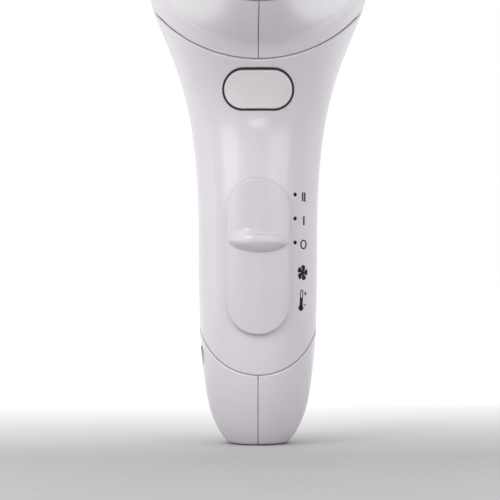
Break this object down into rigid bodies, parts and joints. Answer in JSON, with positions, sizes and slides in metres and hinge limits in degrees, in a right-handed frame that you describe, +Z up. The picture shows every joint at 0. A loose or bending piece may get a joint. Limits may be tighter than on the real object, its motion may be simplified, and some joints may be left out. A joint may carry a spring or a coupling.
{
  "type": "hair dryer",
  "caption": "Pistol-grip hair dryer with a slide switch, a cool button, an axial fan with motor, a mica heater and a turning concentrator nozzle.",
  "frame": {"origin": "centre of the cord inlet's mouth, at the handle's lower end", "axes": "+Z up the handle to the barrel, -Y to the front (switch side and air outlet), +X to the right seen from the front"},
  "size_m": [0.08, 0.2394, 0.21],
  "materials": {
    "shell_white": "gloss white ABS housing",
    "control_white": "gloss white ABS switch plate and screws' surround",
    "button_grey": "slightly darker satin grey",
    "gasket_black": "soft black ring",
    "grille_grey": "dark grey moulded grille",
    "trim_chrome": "bright plated ring",
    "rubber_grey": "pale grey rubber",
    "nylon_white": "natural nylon",
    "nylon_black": "black moulded inner part",
    "steel": "zinc plated steel",
    "spring_steel": "spring wire",
    "mica": "mica sheet, stood in for by ceramic",
    "nichrome": "resistance wire",
    "motor_steel": "drawn steel can",
    "copper": "copper",
    "carbon": "carbon and ferrite",
    "board_brown": "phenolic board",
    "wire_sleeve": "lead insulation",
    "brass": "brass blades and bushes"
  },
  "bodies": {
    "housing": {"housing_left": "shell_white", "housing_right": "shell_white", "front_cover": "shell_white", "housing_screws": "steel", "switch_body": "nylon_black", "switch_terminals": "brass", "switch_chassis": "nylon_white", "suppression_capacitor": "copper", "button_ring": "gasket_black", "button_spring": "spring_steel", "cool_microswitch": "nylon_black", "cord_bush": "rubber_grey", "cord_clamp": "nylon_white", "clamp_screws": "steel", "hanging_loop": "rubber_grey", "fan_shroud": "nylon_black", "motor_can": "motor_steel", "motor_end_cap": "nylon_white", "motor_brushes": "carbon", "motor_bushes": "brass", "motor_magnets": "carbon", "rectifier_board": "board_brown", "motor_tabs": "brass", "rectifier_diodes": "carbon", "mica_tube": "mica", "heater_collar": "mica", "mica_board_flat": "mica", "mica_board_upright": "mica", "heater_coil": "nichrome", "thermostat": "steel", "thermal_fuse": "steel", "outlet_grille": "nylon_black", "outlet_ring": "trim_chrome", "mains_leads": "wire_sleeve", "heater_leads": "wire_sleeve"},
    "slide_plate": {"switch_plate": "control_white", "switch_carriage": "nylon_black", "switch_lever": "nylon_black"},
    "cool_button": {"cool_button": "button_grey", "microswitch_plunger": "nylon_white"},
    "rotor": {"fan_impeller": "nylon_black", "motor_shaft": "steel", "motor_armature": "motor_steel", "motor_commutator": "copper"},
    "nozzle": {"concentrator_nozzle": "nylon_black"},
    "rear_cap": {"rear_cap": "grille_grey", "inlet_filter": "steel"}
  },
  "joints": [
    {"name": "switch_slide", "type": "slide", "parent": "housing", "child": "slide_plate", "axis": [0, 0, 1], "range_m": [0, 0.0163]},
    {"name": "cool_button_press", "type": "slide", "parent": "housing", "child": "cool_button", "axis": [0, 1, 0], "range_m": [0, 0.0022], "stiffness_N_per_m": 900, "springref_m": -0.001, "deforming": ["button_spring"]},
    {"name": "fan_spin", "type": "hinge", "parent": "housing", "child": "rotor", "pos_m": [0, 0.02, 0.17], "axis": [0, 1, 0], "continuous": true},
    {"name": "nozzle_turn", "type": "hinge", "parent": "housing", "child": "nozzle", "pos_m": [0, -0.108, 0.17], "axis": [0, 1, 0], "continuous": true},
    {"name": "rear_cap_twist", "type": "hinge", "parent": "housing", "child": "rear_cap", "pos_m": [0, 0.06, 0.17], "axis": [0, 1, 0], "range_deg": [0, 24]}
  ]
}
